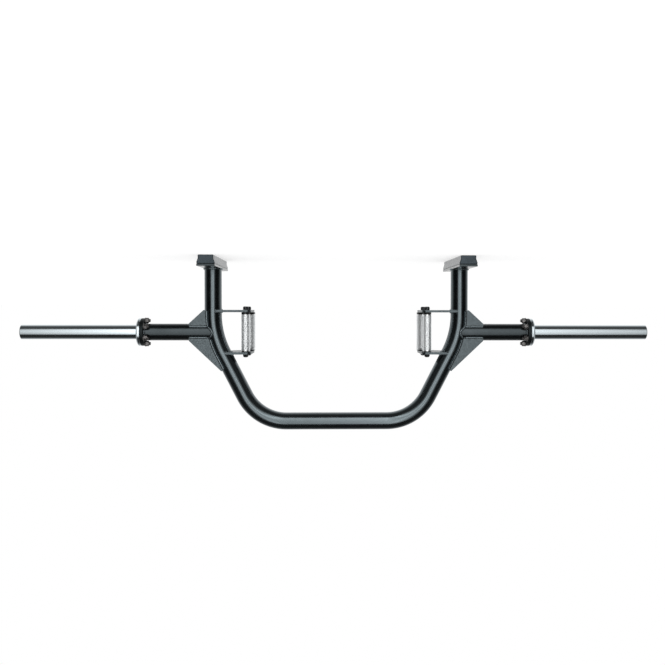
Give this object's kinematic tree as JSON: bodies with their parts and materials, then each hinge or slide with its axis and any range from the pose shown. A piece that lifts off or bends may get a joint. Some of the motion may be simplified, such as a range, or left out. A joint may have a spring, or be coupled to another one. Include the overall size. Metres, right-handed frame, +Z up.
{
  "type": "open-ended trap bar",
  "caption": "Open-ended trap bar with a bent tube frame, feet at its open ends, gusseted arms with plate sleeves, and thin and thick turning grips between handle plates.",
  "frame": {"origin": "centre of the floor under the bar, between the foot pads", "axes": "+X along the plate sleeves, +Y from the thin grips to the thick grips behind them, +Z up from the feet to the closed end"},
  "size_m": [2.188, 0.42, 0.6],
  "materials": {
    "satin_black_coat": "satin black powder coat",
    "hard_chrome": "turned and hard chromed",
    "knurled_chrome": "knurled and chromed",
    "black_oxide": "black oxide",
    "black_nylon": "matte",
    "foot_rubber": "satin moulded"
  },
  "bodies": {
    "frame": {"main_frame_tube": "satin_black_coat", "arm_tube_left": "satin_black_coat", "gusset_foot_front_left": "satin_black_coat", "gusset_foot_rear_left": "satin_black_coat", "gusset_crown_front_left": "satin_black_coat", "gusset_crown_rear_left": "satin_black_coat", "arm_flange_left": "satin_black_coat", "handle_plate_foot_left": "satin_black_coat", "handle_plate_crown_left": "satin_black_coat", "foot_plate_left": "satin_black_coat", "sleeve_flange_left": "hard_chrome", "sleeve_tube_left": "hard_chrome", "sleeve_end_plug_left": "hard_chrome", "flange_stud_1_left": "black_oxide", "flange_stud_2_left": "black_oxide", "flange_stud_3_left": "black_oxide", "flange_stud_4_left": "black_oxide", "flange_stud_5_left": "black_oxide", "flange_stud_6_left": "black_oxide", "thin_grip_bolt_left": "black_oxide", "thin_grip_nut_left": "black_oxide", "thick_grip_bolt_left": "black_oxide", "thick_grip_nut_left": "black_oxide", "foot_pad_left": "foot_rubber", "arm_tube_right": "satin_black_coat", "gusset_foot_front_right": "satin_black_coat", "gusset_foot_rear_right": "satin_black_coat", "gusset_crown_front_right": "satin_black_coat", "gusset_crown_rear_right": "satin_black_coat", "arm_flange_right": "satin_black_coat", "handle_plate_foot_right": "satin_black_coat", "handle_plate_crown_right": "satin_black_coat", "foot_plate_right": "satin_black_coat", "sleeve_flange_right": "hard_chrome", "sleeve_tube_right": "hard_chrome", "sleeve_end_plug_right": "hard_chrome", "flange_stud_1_right": "black_oxide", "flange_stud_2_right": "black_oxide", "flange_stud_3_right": "black_oxide", "flange_stud_4_right": "black_oxide", "flange_stud_5_right": "black_oxide", "flange_stud_6_right": "black_oxide", "thin_grip_bolt_right": "black_oxide", "thin_grip_nut_right": "black_oxide", "thick_grip_bolt_right": "black_oxide", "thick_grip_nut_right": "black_oxide", "foot_pad_right": "foot_rubber"},
    "thin_grip_body_left": {"thin_grip_left": "knurled_chrome", "thin_grip_foot_bush_left": "black_nylon", "thin_grip_crown_bush_left": "black_nylon"},
    "thick_grip_body_left": {"thick_grip_left": "knurled_chrome", "thick_grip_foot_bush_left": "black_nylon", "thick_grip_crown_bush_left": "black_nylon"},
    "thin_grip_body_right": {"thin_grip_right": "knurled_chrome", "thin_grip_foot_bush_right": "black_nylon", "thin_grip_crown_bush_right": "black_nylon"},
    "thick_grip_body_right": {"thick_grip_right": "knurled_chrome", "thick_grip_foot_bush_right": "black_nylon", "thick_grip_crown_bush_right": "black_nylon"}
  },
  "joints": [
    {"name": "thin_grip_turn_left", "type": "hinge", "parent": "frame", "child": "thin_grip_body_left", "pos_m": [-0.31825, 0, 0.258], "axis": [0, 0, 1], "continuous": true},
    {"name": "thick_grip_turn_left", "type": "hinge", "parent": "frame", "child": "thick_grip_body_left", "pos_m": [-0.31825, 0.128, 0.258], "axis": [0, 0, 1], "continuous": true},
    {"name": "thin_grip_turn_right", "type": "hinge", "parent": "frame", "child": "thin_grip_body_right", "pos_m": [0.31825, 0, 0.258], "axis": [0, 0, 1], "continuous": true},
    {"name": "thick_grip_turn_right", "type": "hinge", "parent": "frame", "child": "thick_grip_body_right", "pos_m": [0.31825, 0.128, 0.258], "axis": [0, 0, 1], "continuous": true}
  ]
}
